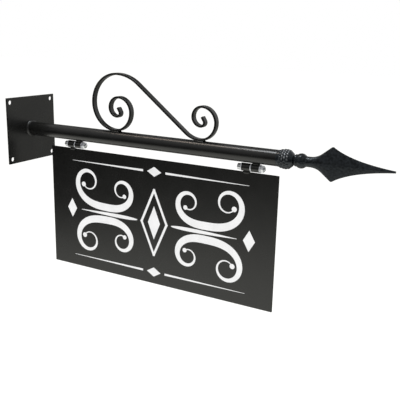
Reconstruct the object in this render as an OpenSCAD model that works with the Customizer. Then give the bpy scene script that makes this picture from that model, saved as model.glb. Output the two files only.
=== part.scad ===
// Projecting bracket sign. A round arm stands out from a square wall plate, with a bent scroll on top,
// a cast finial at its tip and a sheet panel that swings below it on two bolted hinges.
// Millimetres, +Z up. The origin is the middle of the plate's back, on the wall, and the arm runs along +X.

/* [Wall plate] */
// Side of the square plate
plate_side = 160; // [120:1:240]
// Thickness of the plate
plate_t = 4; // [3:0.5:10]
// Distance from the middle of a screw hole to the plate's edges
hole_edge = 11; // [8:0.5:25]
// Diameter of the screw holes
hole_d = 11; // [5:0.5:12]

/* [Arm] */
// Outside diameter of the tube
arm_d = 33.7; // [28:0.1:42]
// Wall of the tube
arm_wall = 2.6; // [2:0.1:4]
// Leg of the weld round the tube's foot
arm_weld_leg = 4; // [2:0.5:8]

/* [Panel] */
// Length of the panel, along the arm
panel_len = 600; // [460:10:900]
// Height of the panel
panel_h = 300; // [150:10:500]
// Thickness of the panel's sheet
panel_t = 3; // [1.5:0.5:5]
// Clear gap between the plate and the panel
wall_gap = 64; // [30:1:120]
// How far the panel reaches past the tube's end
panel_past = 5; // [0:1:15]

/* [Scroll] */
// Width of the flat bar, across the arm
bar_w = 14; // [8:1:20]
// Thickness of the flat bar
bar_t = 5; // [3:0.5:8]
// How far the middle of the scroll lies past the middle of the panel
scroll_shift = 5; // [-30:1:30]
// Lean of the straight from level, in degrees
lean = 38; // [32:1:46]
// Radius where the straight runs into the rear curl
shoulder_r = 92; // [70:1:110]
// Radius over the top of the rear curl
crown_r = 67; // [58:1:76]
// Radius from the back of the rear curl down to its heel on the arm
heel_r = 61; // [54:1:70]
// Radii of the quarter turns of the rear curl, from its heel inward
rear_turns = [43, 33, 24, 20]; // [18:1:48]
// Radius where the straight runs into the front curl
toe_r = 56; // [36:1:70]
// Radii of the quarter turns of the front curl, from its heel inward
front_turns = [38, 33, 22, 20]; // [18:1:44]
// Radius of the eye at each end of the bar
eye_r = 8.2; // [7:0.1:12]
// Turn of each eye, in degrees
eye_turn = 122; // [90:1:150]
// Length of the straight end past each eye
eye_len = 9.5; // [5:0.5:12]
// Length of the weld under each curl
scroll_weld_len = 22; // [14:1:40]
// How far the welds show beside the bar
scroll_weld_side = 1.5; // [0.5:0.5:3]

/* [Finial] */
// Diameter of the ball
ball_d = 39; // [36:1:50]
// Diameter of the flat where the ball meets the spear
ball_face_d = 16.5; // [15:0.5:24]
// Diameter of the raised beads on the ball
bead_d = 5.6; // [3:0.2:6]
// Beads in a row round the ball
beads = 20; // [8:1:22]
// Rows of beads along the ball, each turned half a bead from the last
bead_rows = 4; // [1:1:4]
// Distance from the tube's end to the first row of beads
bead_inset = 8; // [3:0.5:10]
// How far the beads stand out of the ball
relief = 1.2; // [0.6:0.1:2]
// Length of the cone from the ball up to the spear's rim
rim_lead = 2; // [1:0.5:5]
// Diameter of the spear's rim
rim_d = 24.6; // [20:0.2:30]
// Width of the rim
rim_w = 4; // [2:0.5:6]
// Diameter of the round bead before the neck
knop_d = 30.4; // [26:0.2:40]
// Length of that bead
knop_len = 20; // [14:1:28]
// Diameter of the neck
neck_d = 21; // [17:0.2:24]
// Length of the neck
neck_len = 8; // [4:1:20]
// Width of the blade across its corners
blade_w = 71; // [50:1:90]
// Thickness of the blade at its corners
blade_t = 12; // [8:0.5:16]
// Distance from the neck to the corners
blade_back = 43.5; // [40:0.5:60]
// Distance from the corners to the tip
blade_reach = 121; // [90:0.5:180]
// Radius of the flare from the neck into the blade
flare_r = 36; // [20:1:42]
// Pull point of the long edges, along from the corners and out from the middle
blade_pull = [36, 10]; // [5:1:60]
// Width and thickness of the blunt tip
tip = [4, 3]; // [2:0.5:6]

/* [Finial fixing] */
// Diameter of the stud inside the finial
stud_d = 10; // [6:1:12]
// Length of the plug in the tube's end
plug_len = 12; // [8:1:25]
// Depth of the stud's hole in the spear
stud_hole = 22; // [14:1:26]
// How far the stud stops short of the hole's end
stud_short = 1; // [0.5:0.5:4]

/* [Hinges] */
// Diameter of the bolts
bolt_d = 8; // [6:1:10]
// Diameter of the bolts' round heads
head_d = 13; // [10:0.5:16]
// Height of the bolts' heads
head_h = 8; // [4:0.1:10]
// Slope round the end of the bolts' heads
head_ease = 0.8; // [0.3:0.1:1.5]
// Across flats of the sockets in the bolts' heads
socket_af = 6; // [4:0.5:8]
// Depth of these sockets
socket_depth = 4; // [2:0.5:5]
// Across flats of the nuts
hex_af = 13; // [11:0.5:15]
// Height of the nuts
nut_h = 6.8; // [5:0.1:10]
// How far the bolts stand out of the nuts
bolt_out = 2.5; // [0.5:0.5:8]
// Outside diameter of the washers
washer_d = 17; // [14:0.5:18]
// Thickness of the washers
washer_t = 2.5; // [1:0.1:4]
// Outside diameter of the knuckles
knuckle_d = 17; // [13:0.5:20]
// Length of each knuckle
knuckle_len = 18; // [12:1:30]
// Gap that the knuckles keep from the tube and from the panel's edge
knuckle_gap = 1.5; // [1:0.1:4]
// Distance from the panel's rear end to the middle of its rear knuckle
rear_inset = 65; // [40:1:110]
// Distance from the panel's front end to the middle of its front knuckle
front_inset = 73; // [60:1:110]
// Width of the welds across the arm
hinge_weld_w = 8; // [5:0.5:9]
// How far the welds stop short of the knuckles' ends
hinge_weld_end = 1; // [0.5:0.5:3]
// How far the lower welds run down the panel's faces
panel_weld_lap = 6; // [3:0.5:12]
// How far the lower welds stand off the panel's faces at their ends
panel_weld_toe = 0.8; // [0.4:0.1:2]

/* [Clearances] */
// Running clearance of the bolts in the knuckles, all round
run_clear = 0.1; // [0.03:0.01:0.1]
// End play of the panel's knuckles at each side
end_play = 0.5; // [0.3:0.1:1]
// Clearance of the washers on the bolts, all round
washer_clear = 0.2; // [0.1:0.05:0.4]
// Clearance of screwed and plugged pieces, all round
seat_clear = 0.05; // [0.02:0.01:0.1]

/* [Hidden] */
$fn = 96;
loft_sides = 24;
loft_steps = 10;

// How far cuts run past the faces that they open
over = 1;

// A straight runs this far into the bends that it joins, and is this much slimmer on each side
straight_lap = 0.5;
hair = 0.01;

// Powers of the spear's sections, where 2 is round and 1 is a lozenge
neck_power = 2;
blade_power = 1.25;

arm_r = arm_d / 2;
bore_r = arm_r - arm_wall;
knuckle_r = knuckle_d / 2;
panel_x = plate_t + wall_gap;
arm_end = panel_x + panel_len - panel_past;
pin_z = -(arm_r + knuckle_gap + knuckle_r);
panel_top = pin_z - knuckle_r - knuckle_gap;

// A hinge is placed by the middle of its panel knuckle
rear_x = panel_x + rear_inset;
front_x = panel_x + panel_len - front_inset;
arm_side = knuckle_len / 2 + end_play + washer_t;
nut_side = arm_side + knuckle_len + washer_t;
head_side = -knuckle_len / 2 - end_play - washer_t;

// The scroll's span follows from its radii, because both heels rest on the arm
straight_len = (heel_r + crown_r - (shoulder_r + toe_r) * (1 - cos(lean))) / sin(lean);
scroll_span = crown_r - heel_r + (shoulder_r + toe_r) * sin(lean) + straight_len * cos(lean);
rear_heel_x = panel_x + panel_len / 2 + scroll_shift - scroll_span / 2;
front_heel_x = rear_heel_x + scroll_span;
bar_z = arm_r + bar_t / 2;

// The ball's middle lies as far from the tube's end as from its front flat
ball_r = ball_d / 2;
ball_half = sqrt(pow(ball_r, 2) - pow(ball_face_d / 2, 2));
ball_x = arm_end + ball_half;
spear_x = ball_x + ball_half;

// The collar runs from the tube's edge to where it touches the ball
collar_from = sqrt(pow(ball_half, 2) + pow(arm_r, 2));
collar_at = atan2(arm_r, -ball_half) - acos(ball_r / collar_from);
collar_x = ball_r * cos(collar_at);
collar_r = ball_r * sin(collar_at);

// The knop is part of a circle through the neck's edge at both ends
knop_rise = (knop_d - neck_d) / 2;
knop_arc_r = (pow(knop_len / 2, 2) + pow(knop_rise, 2)) / (2 * knop_rise);
knop_x = rim_lead + rim_w / 2 + knop_len / 2;
neck_x = knop_x + knop_len / 2;
blade_x = neck_x + neck_len;

// The flare turns out from the neck until it points straight at the blade's corner
neck_r = neck_d / 2;
flare_in = neck_r + flare_r - blade_w / 2;
flare_turn = atan2(blade_back, flare_in) - acos(flare_r / norm([blade_back, flare_in]));

paint = [0.09, 0.09, 0.09];
casting = [0.12, 0.13, 0.14];
zinc = [0.75, 0.76, 0.78];

// A cylinder along +X from x, on the line y = 0 at height z
module rod(r, x, length, z = 0) {
  translate([x, 0, z])
    rotate([0, 90, 0])
      cylinder(r = r, h = length);
}

// A ring along +X from x
module sleeve(r, hole_r, x, length, z = 0) {
  difference() {
    rod(r, x, length, z);
    rod(hole_r, x - over, length + 2 * over, z);
  }
}

// A profile of x along and y outward, turned about the arm's line
module turned(x = 0) {
  translate([x, 0, 0])
    rotate([0, 90, 0])
      rotate_extrude()
        mirror([1, -1])
          children();
}

// Flat bar bent through a list of [radius, turn] from the origin, starting along +X and turning left.
// What follows is drawn at the bend's end.
module bend(turns, i = 0) {
  if (i < len(turns)) {
    translate([0, turns[i][0]]) {
      rotate(-90)
        rotate_extrude(angle = turns[i][1])
          translate([turns[i][0] - bar_t / 2, -bar_w / 2])
            square([bar_t, bar_w]);
      rotate(turns[i][1])
        translate([0, -turns[i][0]])
          bend(turns, i + 1)
            children();
    }
  } else {
    children();
  }
}

// The bar lies with its width across the arm, and its heel on the arm's top at x
module on_arm(x) {
  translate([x, 0, bar_z])
    rotate([90, 0, 0])
      children();
}

module wall_plate() {
  hole_at = plate_side / 2 - hole_edge;
  color(paint)
    difference() {
      translate([0, -plate_side / 2, -plate_side / 2])
        cube([plate_t, plate_side, plate_side]);
      for (y = [-hole_at, hole_at], z = [-hole_at, hole_at])
        translate([0, y, 0])
          rod(hole_d / 2, -over, plate_t + 2 * over, z);
    }
}

module arm_tube() {
  color(paint)
    sleeve(arm_r, bore_r, plate_t, arm_end - plate_t);
}

module arm_weld() {
  color(paint)
    turned(plate_t)
      polygon([[0, arm_r], [0, arm_r + arm_weld_leg], [arm_weld_leg, arm_r]]);
}

// Straight bar from a bend's end. It starts inside the bend, and is a hair slimmer than it.
module straight(length) {
  translate([-straight_lap, hair - bar_t / 2, hair - bar_w / 2])
    cube([straight_lap + length, bar_t - 2 * hair, bar_w - 2 * hair]);
}

// A curl from its heel inward: a quarter turn to each radius, the eye and the straight end
module curl(radii) {
  bend(concat([for (r = radii) [r, 90]], [[eye_r, eye_turn]]))
    straight(eye_len);
}

module scroll_bar() {
  color(paint) {
    on_arm(rear_heel_x) {
      curl(rear_turns);
      mirror([1, 0, 0])
        bend([[heel_r, 90], [crown_r, 90], [shoulder_r, lean]])
          straight(straight_len + straight_lap);
    }
    on_arm(front_heel_x) {
      curl(front_turns);
      mirror([1, 0, 0])
        bend([[toe_r, lean]]);
    }
  }
}

// A weld fills the wedge between the arm and a curl's heel, which turns at back_r behind
// and at fore_r in front
module scroll_weld(x, back_r, fore_r) {
  bead_r = bar_w / 2 + scroll_weld_side;
  $fn = 360;
  color(paint)
    difference() {
      intersection() {
        rod(bead_r, x - scroll_weld_len / 2, scroll_weld_len, arm_r);
        translate([x - scroll_weld_len / 2, -bead_r, 0])
          cube([scroll_weld_len, 2 * bead_r, arm_r + bar_t / 2]);
      }
      rod(arm_r, x - scroll_weld_len, 2 * scroll_weld_len);
      on_arm(x) {
        bend([[fore_r, lean]]);
        mirror([1, 0, 0])
          bend([[back_r, lean]]);
      }
    }
}

module tube_plug() {
  color(zinc)
    sleeve(bore_r - seat_clear, stud_d / 2 + seat_clear, arm_end - plug_len, plug_len);
}

module finial_stud() {
  color(zinc)
    rod(stud_d / 2, arm_end - plug_len, plug_len + 2 * ball_half + stud_hole - stud_short);
}

// Distance of the ball's surface from the arm's line, with the collar behind it
function ball_out(x) = x < collar_x
  ? arm_r + (collar_r - arm_r) * (x + ball_half) / (collar_x + ball_half)
  : sqrt(pow(ball_r, 2) - pow(x, 2));

module finial_ball() {
  bead_x = [for (row = [0:bead_rows - 1]) -ball_half + bead_inset + row * bead_d];
  color(casting)
    difference() {
      union() {
        turned(ball_x)
          intersection() {
            union() {
              circle(r = ball_r);
              polygon([[-ball_half, 0], [-ball_half, arm_r], [collar_x, collar_r], [collar_x, 0]]);
            }
            translate([-ball_half, 0])
              square([2 * ball_half, 2 * ball_r]);
          }
        for (row = [0:bead_rows - 1], i = [0:beads - 1])
          translate([ball_x + bead_x[row], 0, 0])
            rotate([(i + row / 2) * 360 / beads, 0, 0])
              translate([0, 0, ball_out(bead_x[row]) + relief - bead_d / 2])
                sphere(d = bead_d);
      }
      rod(stud_d / 2 + seat_clear, arm_end - over, 2 * (ball_half + over));
    }
}

// The blade's edge as [along, half width, half thickness, power of the section], from the neck to the tip
function mix(a, b, t) = a + (b - a) * t;
function flare(t) =
  let (a = flare_turn * t, x = flare_r * sin(a), u = x / blade_back)
  [
    x,
    neck_r + flare_r * (1 - cos(a)) - seat_clear,
    mix(neck_r - seat_clear, blade_t / 2, u * (2 - u)),
    mix(neck_power, blade_power, u)
  ];
function long_edge(t) =
  [
    blade_back + 2 * t * (1 - t) * blade_pull[0] + t * t * blade_reach,
    (1 - t) * (1 - t) * blade_w / 2 + 2 * t * (1 - t) * blade_pull[1] + t * t * tip[0] / 2,
    mix(blade_t, tip[1], t) / 2,
    blade_power
  ];
function section(s) = [
  for (i = [0:loft_sides - 1])
    let (a = 360 * i / loft_sides, p = 2 / s[3], c = cos(a), d = sin(a))
    [s[0], s[2] * sign(c) * pow(abs(c), p), s[1] * sign(d) * pow(abs(d), p)]
];

// Rings of points joined into one closed skin
module loft(rings) {
  n = len(rings[0]);
  last = len(rings) - 1;
  sides = [
    for (j = [0:last - 1], i = [0:n - 1])
      let (a = j * n + i, b = j * n + (i + 1) % n)
      each [[a, a + n, b], [b, a + n, b + n]]
  ];
  ends = [[for (i = [0:n - 1]) i], [for (i = [0:n - 1]) last * n + n - 1 - i]];
  polyhedron(points = [for (r = rings) each r], faces = concat(sides, ends));
}

module finial_spear() {
  root = [-neck_len / 2, neck_r - seat_clear, neck_r - seat_clear, neck_power];
  back_edge = [for (i = [0:loft_steps]) flare(i / loft_steps)];
  front_edge = [for (i = [0:loft_steps]) long_edge(i / loft_steps)];
  color(casting)
    difference() {
      union() {
        turned(spear_x) {
          square([blade_x, neck_r]);
          polygon([
            [0, 0], [0, ball_face_d / 2], [rim_lead, rim_d / 2],
            [rim_lead + rim_w, rim_d / 2], [rim_lead + rim_w, 0]
          ]);
          intersection() {
            translate([knop_x, knop_d / 2 - knop_arc_r])
              circle(r = knop_arc_r);
            square([blade_x, knop_d]);
          }
        }
        translate([spear_x + blade_x, 0, 0])
          loft([for (s = concat([root], back_edge, front_edge)) section(s)]);
      }
      rod(stud_d / 2 + seat_clear, spear_x - over, stud_hole + over);
    }
}

module arm_knuckle(x) {
  color(paint)
    sleeve(knuckle_r, bolt_d / 2 + run_clear, x + arm_side, knuckle_len, pin_z);
}

module arm_knuckle_weld(x) {
  length = knuckle_len - 2 * hinge_weld_end;
  color(paint)
    difference() {
      translate([x + arm_side + hinge_weld_end, -hinge_weld_w / 2, pin_z])
        cube([length, hinge_weld_w, -pin_z]);
      rod(arm_r, x, 2 * nut_side);
      rod(knuckle_r, x, 2 * nut_side, pin_z);
    }
}

// A hex blank along +X with its corners turned off at both ends
module hex_blank(x, height) {
  corner = hex_af / 2 / cos(30);
  bevel = (corner - hex_af / 2) * tan(30);
  translate([x, 0, pin_z])
    rotate([0, 90, 0])
      intersection() {
        cylinder(r = corner, h = height, $fn = 6);
        rotate_extrude()
          polygon([
            [0, 0], [hex_af / 2, 0], [corner, bevel],
            [corner, height - bevel], [hex_af / 2, height], [0, height]
          ]);
      }
}

// A bolt with a round head and a hex socket in its end
module hinge_bolt(x) {
  head_r = head_d / 2;
  length = head_h - head_side + nut_side + nut_h + bolt_out;
  color(zinc)
    translate([x + head_side - head_h, 0, pin_z])
      difference() {
        turned()
          polygon([
            [0, 0], [0, head_r - head_ease], [head_ease, head_r], [head_h, head_r],
            [head_h, bolt_d / 2], [length, bolt_d / 2], [length, 0]
          ]);
        translate([-over, 0, 0])
          rotate([0, 90, 0])
            cylinder(d = socket_af / cos(30), h = socket_depth + over, $fn = 6);
      }
}

module hinge_nut(x) {
  color(zinc)
    difference() {
      hex_blank(x + nut_side, nut_h);
      rod(bolt_d / 2 + seat_clear, x + nut_side - over, nut_h + 2 * over, pin_z);
    }
}

module washer(x) {
  color(zinc)
    sleeve(washer_d / 2, bolt_d / 2 + washer_clear, x, washer_t, pin_z);
}

module sign_panel() {
  color(paint)
    translate([panel_x, -panel_t / 2, panel_top - panel_h])
      cube([panel_len, panel_t, panel_h]);
}

module panel_knuckle(x) {
  color(paint)
    sleeve(knuckle_r, bolt_d / 2 + run_clear, x - knuckle_len / 2, knuckle_len, pin_z);
}

// The weld bridges from the knuckle to the sheet's edge and laps down both its faces
module panel_weld(x) {
  length = knuckle_len - 2 * hinge_weld_end;
  toe_y = panel_t / 2 + panel_weld_toe;
  toe_z = panel_top - panel_weld_lap;
  color(paint)
    difference() {
      translate([x - length / 2, 0, 0])
        rotate([90, 0, 90])
          linear_extrude(length)
            polygon([
              [-hinge_weld_w / 2, pin_z], [-hinge_weld_w / 2, panel_top], [-toe_y, toe_z],
              [toe_y, toe_z], [hinge_weld_w / 2, panel_top], [hinge_weld_w / 2, pin_z]
            ]);
      rod(knuckle_r, x - length, 2 * length, pin_z);
      sign_panel();
    }
}

wall_plate();
arm_tube();
arm_weld();
scroll_bar();
scroll_weld(rear_heel_x, heel_r, rear_turns[0]);  // rear_scroll_weld
scroll_weld(front_heel_x, toe_r, front_turns[0]);  // front_scroll_weld
tube_plug();
finial_stud();
finial_ball();
finial_spear();
arm_knuckle(rear_x);  // rear_arm_knuckle
arm_knuckle(front_x);  // front_arm_knuckle
arm_knuckle_weld(rear_x);  // rear_arm_knuckle_weld
arm_knuckle_weld(front_x);  // front_arm_knuckle_weld
hinge_bolt(rear_x);  // rear_hinge_bolt
hinge_bolt(front_x);  // front_hinge_bolt
hinge_nut(rear_x);  // rear_hinge_nut
hinge_nut(front_x);  // front_hinge_nut
washer(rear_x + head_side);  // rear_head_washer
washer(front_x + head_side);  // front_head_washer
washer(rear_x + arm_side - washer_t);  // rear_spacer_washer
washer(front_x + arm_side - washer_t);  // front_spacer_washer
washer(rear_x + nut_side - washer_t);  // rear_nut_washer
washer(front_x + nut_side - washer_t);  // front_nut_washer
sign_panel();
panel_knuckle(rear_x);  // rear_panel_knuckle
panel_knuckle(front_x);  // front_panel_knuckle
panel_weld(rear_x);  // rear_panel_weld
panel_weld(front_x);  // front_panel_weld
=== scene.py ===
"""Finishes a swinging trade sign: painted bracket, cast finial, zinc hinges and a white panel design."""

import math

import bmesh
import bpy
import numpy as np
from bpy.props import FloatProperty, FloatVectorProperty, IntProperty, PointerProperty
from mathutils import Matrix, Vector


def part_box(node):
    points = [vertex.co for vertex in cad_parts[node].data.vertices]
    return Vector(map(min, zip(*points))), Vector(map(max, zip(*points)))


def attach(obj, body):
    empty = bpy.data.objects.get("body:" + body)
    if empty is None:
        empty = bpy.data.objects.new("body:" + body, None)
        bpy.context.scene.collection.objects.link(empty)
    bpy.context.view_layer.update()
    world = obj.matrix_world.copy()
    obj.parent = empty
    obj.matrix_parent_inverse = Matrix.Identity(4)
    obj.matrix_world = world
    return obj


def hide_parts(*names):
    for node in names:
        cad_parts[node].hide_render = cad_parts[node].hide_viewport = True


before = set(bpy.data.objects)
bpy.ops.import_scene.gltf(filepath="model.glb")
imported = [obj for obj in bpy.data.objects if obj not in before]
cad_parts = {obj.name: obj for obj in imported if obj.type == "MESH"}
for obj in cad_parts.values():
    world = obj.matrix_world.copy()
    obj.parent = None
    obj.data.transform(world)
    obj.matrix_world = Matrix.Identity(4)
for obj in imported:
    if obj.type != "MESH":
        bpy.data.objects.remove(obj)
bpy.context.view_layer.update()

bl_info = {
    "name": "Swinging Trade Sign",
    "version": (1, 0, 0),
    "blender": (4, 5, 0),
    "location": "View3D > Sidebar > Trade Sign",
    "description": "Builds the finished surfaces, paint and stage of a bracket sign round its frame",
    "category": "Add Mesh",
}

BRACKET = "bracket"
SIGN = "sign"
ENDS = ("rear", "front")
SIDES = (-1, 1)
SHARP = math.radians(38)
MERGE = 1e-7

# Places and sizes that come from the frame
TUBE_LOW, TUBE_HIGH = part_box("arm_tube")
PANEL_LOW, PANEL_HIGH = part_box("sign_panel")
SCROLL_LOW, SCROLL_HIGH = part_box("scroll_bar")
BALL_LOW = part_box("finial_ball")[0]
SPEAR_LOW, SPEAR_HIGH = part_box("finial_spear")
TUBE_R = TUBE_HIGH.z
PANEL_MIDDLE = (PANEL_LOW + PANEL_HIGH) / 2
PIN_Z = sum(c.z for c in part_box("rear_panel_knuckle")) / 2
KNUCKLE_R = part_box("rear_panel_knuckle")[1].z - PIN_Z


class SignScroll(bpy.types.PropertyGroup):
    """Sizes of the bent bar on top of the arm."""

    bar_thick: FloatProperty(
        name="Bar thickness", description="Thickness of the flat bar", default=0.005, unit="LENGTH"
    )
    bar_edge: FloatProperty(
        name="Bar edge", description="Radius of the flat bar's edges", default=0.0012, unit="LENGTH"
    )
    lean: FloatProperty(
        name="Lean", description="Lean of the straight from level", default=math.radians(38), subtype="ANGLE"
    )
    heel: FloatProperty(name="Heel", description="Radius behind the large curl", default=0.061, unit="LENGTH")
    crown: FloatProperty(name="Crown", description="Radius over the large curl", default=0.067, unit="LENGTH")
    shoulder: FloatProperty(
        name="Shoulder",
        description="Radius from the large curl into the straight",
        default=0.092,
        unit="LENGTH",
    )
    toe: FloatProperty(
        name="Toe", description="Radius from the straight into the small curl", default=0.056, unit="LENGTH"
    )
    rear_turns: FloatVectorProperty(
        name="Large curl",
        description="Radii of the quarter turns of the large curl, inward",
        size=4,
        default=(0.043, 0.033, 0.024, 0.020),
        unit="LENGTH",
    )
    front_turns: FloatVectorProperty(
        name="Small curl",
        description="Radii of the quarter turns of the small curl, inward",
        size=4,
        default=(0.038, 0.033, 0.022, 0.020),
        unit="LENGTH",
    )
    eye: FloatProperty(name="Eye", description="Radius of the bar's last turn", default=0.0082, unit="LENGTH")
    eye_turn: FloatProperty(
        name="Eye turn", description="Turn of the bar's last bend", default=math.radians(122), subtype="ANGLE"
    )
    eye_end: FloatProperty(
        name="Eye end", description="Length of the straight end past the eye", default=0.0095, unit="LENGTH"
    )


class SignFinial(bpy.types.PropertyGroup):
    """Sizes of the cast ball and spear at the arm's tip."""

    ball_d: FloatProperty(name="Ball", description="Diameter of the ball", default=0.039, unit="LENGTH")
    face_d: FloatProperty(
        name="Ball face", description="Diameter where the ball meets the spear", default=0.0165, unit="LENGTH"
    )
    relief: FloatProperty(
        name="Relief", description="Height of the ball's relief", default=0.0012, unit="LENGTH"
    )
    beads: IntProperty(name="Beads", description="Beads in a row round the ball", default=20)
    bead_rows: IntProperty(name="Bead rows", description="Rows of beads on the ball", default=4)
    bead_inset: FloatProperty(
        name="Bead inset", description="Distance from the tube to the first row", default=0.008, unit="LENGTH"
    )
    bead_gap: FloatProperty(
        name="Bead gap", description="Distance between rows", default=0.0056, unit="LENGTH"
    )
    rim_d: FloatProperty(name="Rim", description="Diameter of the spear's rim", default=0.0246, unit="LENGTH")
    knop_d: FloatProperty(
        name="Knop", description="Diameter of the round bead before the neck", default=0.0304, unit="LENGTH"
    )
    neck_d: FloatProperty(name="Neck", description="Diameter of the neck", default=0.021, unit="LENGTH")
    blade_thick: FloatProperty(
        name="Blade thickness",
        description="Thickness of the blade at its corners",
        default=0.012,
        unit="LENGTH",
    )
    corner_ease: FloatProperty(
        name="Corner ease",
        description="Reach of the rounding at the blade's corners",
        default=0.0028,
        unit="LENGTH",
    )
    hammer: FloatProperty(
        name="Hammer marks",
        description="Depth of the hammer marks on the blade",
        default=0.00035,
        unit="LENGTH",
    )


class SignHinge(bpy.types.PropertyGroup):
    """Sizes of the bolts, nuts and washers."""

    head_ease: FloatProperty(
        name="Head ease", description="Slope round the end of a bolt's head", default=0.0008, unit="LENGTH"
    )
    socket: FloatProperty(
        name="Socket", description="Across flats of the socket in a bolt's head", default=0.006, unit="LENGTH"
    )
    socket_depth: FloatProperty(
        name="Socket depth", description="Depth of the socket", default=0.004, unit="LENGTH"
    )
    knurls: IntProperty(name="Knurls", description="Ridges round a bolt's head", default=48)
    shank: FloatProperty(name="Shank", description="Diameter of a bolt's shank", default=0.008, unit="LENGTH")
    pitch: FloatProperty(name="Pitch", description="Pitch of the thread", default=0.00125, unit="LENGTH")


class SignFinish(bpy.types.PropertyGroup):
    """Colours and gloss of the finishes."""

    coat: FloatVectorProperty(
        name="Coat",
        description="Colour of the black powder coat",
        default=(0.0065, 0.0066, 0.0062),
        subtype="COLOR",
    )
    coat_rough: FloatProperty(
        name="Coat roughness", description="Roughness of the powder coat", default=0.24, subtype="FACTOR"
    )
    casting: FloatVectorProperty(
        name="Casting",
        description="Colour of the painted casting",
        default=(0.0064, 0.0076, 0.0092),
        subtype="COLOR",
    )
    zinc: FloatVectorProperty(
        name="Zinc", description="Colour of the zinc plating", default=(0.67, 0.69, 0.73), subtype="COLOR"
    )
    film: FloatVectorProperty(
        name="Film", description="Colour of the white film", default=(0.94, 0.94, 0.94), subtype="COLOR"
    )


class SignDesign(bpy.types.PropertyGroup):
    """Sizes of the white design on the panel."""

    width: FloatProperty(name="Width", description="Width of the whole design", default=0.508, unit="LENGTH")
    stroke: FloatProperty(
        name="Stroke", description="Swell of the curls' strokes", default=0.0160, unit="LENGTH"
    )
    thick: FloatProperty(
        name="Film thickness", description="Thickness of the film", default=0.00015, unit="LENGTH"
    )


class SignStage(bpy.types.PropertyGroup):
    """Camera, floor and light."""

    lens: FloatProperty(name="Lens", description="Focal length on a 36 mm sensor, in mm", default=54.37)
    azimuth: FloatProperty(
        name="Azimuth",
        description="Camera's turn from straight ahead",
        default=math.radians(27.9),
        subtype="ANGLE",
    )
    elevation: FloatProperty(
        name="Elevation",
        description="Camera's height above level",
        default=math.radians(14.11),
        subtype="ANGLE",
    )
    roll: FloatProperty(name="Roll", description="Camera's roll", default=math.radians(1.48), subtype="ANGLE")
    place: FloatVectorProperty(
        name="Place", description="Camera's place", default=(1.0921, -1.1261, 0.2349), subtype="TRANSLATION"
    )
    shift: FloatVectorProperty(
        name="Shift", description="Camera's shift, in frame widths", size=2, default=(-0.0102, -0.0304)
    )
    floor_z: FloatProperty(name="Floor", description="Height of the floor", default=-0.62, unit="LENGTH")
    strip: FloatProperty(name="Strip", description="Power of the rear strip light, in watts", default=2.9)
    fill: FloatProperty(name="Fill", description="Strength of the room's light", default=1.0)


GROUPS = (
    ("sign_scroll", SignScroll),
    ("sign_finial", SignFinial),
    ("sign_hinge", SignHinge),
    ("sign_finish", SignFinish),
    ("sign_design", SignDesign),
    ("sign_stage", SignStage),
)


def faces_of(rows, columns, wrap_rows, wrap_columns, start):
    """Quads of a grid: each cell joins a point with the next along both parameters."""
    i = np.arange(rows if wrap_rows else rows - 1)[:, None]
    j = np.arange(columns if wrap_columns else columns - 1)[None, :]
    i2, j2 = (i + 1) % rows, (j + 1) % columns
    corners = [i * columns + j, i * columns + j2, i2 * columns + j2, i2 * columns + j]
    return start + np.stack(corners, axis=-1).reshape(-1, 4)


def patch(points, wrap_rows=False, wrap_columns=True, caps=False):
    """A grid of points with what closes it: rows run along the shape and columns round it."""
    return points, wrap_rows, wrap_columns, caps


def piece(name, patches, material, body, slot, *nodes):
    """One mesh object from several patches, merged and turned outward.

    It rides on a body and stands for nodes, which it hides. Its slot is not used.
    """
    points, faces, start = [], [], 0
    for grid, wrap_rows, wrap_columns, caps in patches:
        rows, columns = grid.shape[:2]
        points.append(grid.reshape(-1, 3))
        faces += faces_of(rows, columns, wrap_rows, wrap_columns, start).tolist()
        if caps:
            faces.append(list(range(start, start + columns)))
            faces.append(list(range(start + (rows - 1) * columns, start + rows * columns)))
        start += rows * columns
    mesh = bpy.data.meshes.new(name)
    mesh.from_pydata(np.concatenate(points).tolist(), [], faces)
    work = bmesh.new()
    work.from_mesh(mesh)
    bmesh.ops.remove_doubles(work, verts=work.verts, dist=MERGE)
    bmesh.ops.recalc_face_normals(work, faces=work.faces)
    work.to_mesh(mesh)
    work.free()
    mesh.shade_smooth()
    mesh.set_sharp_from_angle(angle=SHARP)
    mesh.materials.append(material)
    made = bpy.data.objects.new(name, mesh)
    bpy.context.scene.collection.objects.link(made)
    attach(made, body)
    if nodes:
        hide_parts(*nodes)


# An eased edge: the place of its middle and of the row that keeps the flat beside it flat, in edge sizes
EASE_CUT = 0.3
EASE_HOLD = 1.25

# Size of the bar's section at its very ends
BAR_END = 0.9

# Weld beads: step along a bead, fewest rows, points round it, and pitch of its ripples
BEAD_STEP = 0.0004
BEAD_ROWS = 24
BEAD_SIDES = 20
BEAD_PITCH = 0.0024

# Ripple and stray of a bead in radii, half waves and shift of the stray, and size of the end's point
BEAD_RIPPLE = 0.1
BEAD_STRAY = 0.12
BEAD_BENDS = 2.7
BEAD_SHIFT = 5
BEAD_POINT = 0.02


def revolved(profile, sides, z=0.0, ripple=None):
    """Points (x, r cos a, z + r sin a) for each (x, r) of the profile and each angle a.

    A ripple(x, a) adds to r.
    """
    a = np.linspace(0, 2 * np.pi, sides, endpoint=False)[None, :]
    x, r = (np.asarray(profile, float)[:, k][:, None] for k in (0, 1))
    if ripple is not None:
        r = r + ripple(x, a)
    return np.stack([x + 0 * a, r * np.cos(a), z + r * np.sin(a)], axis=-1)


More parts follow.
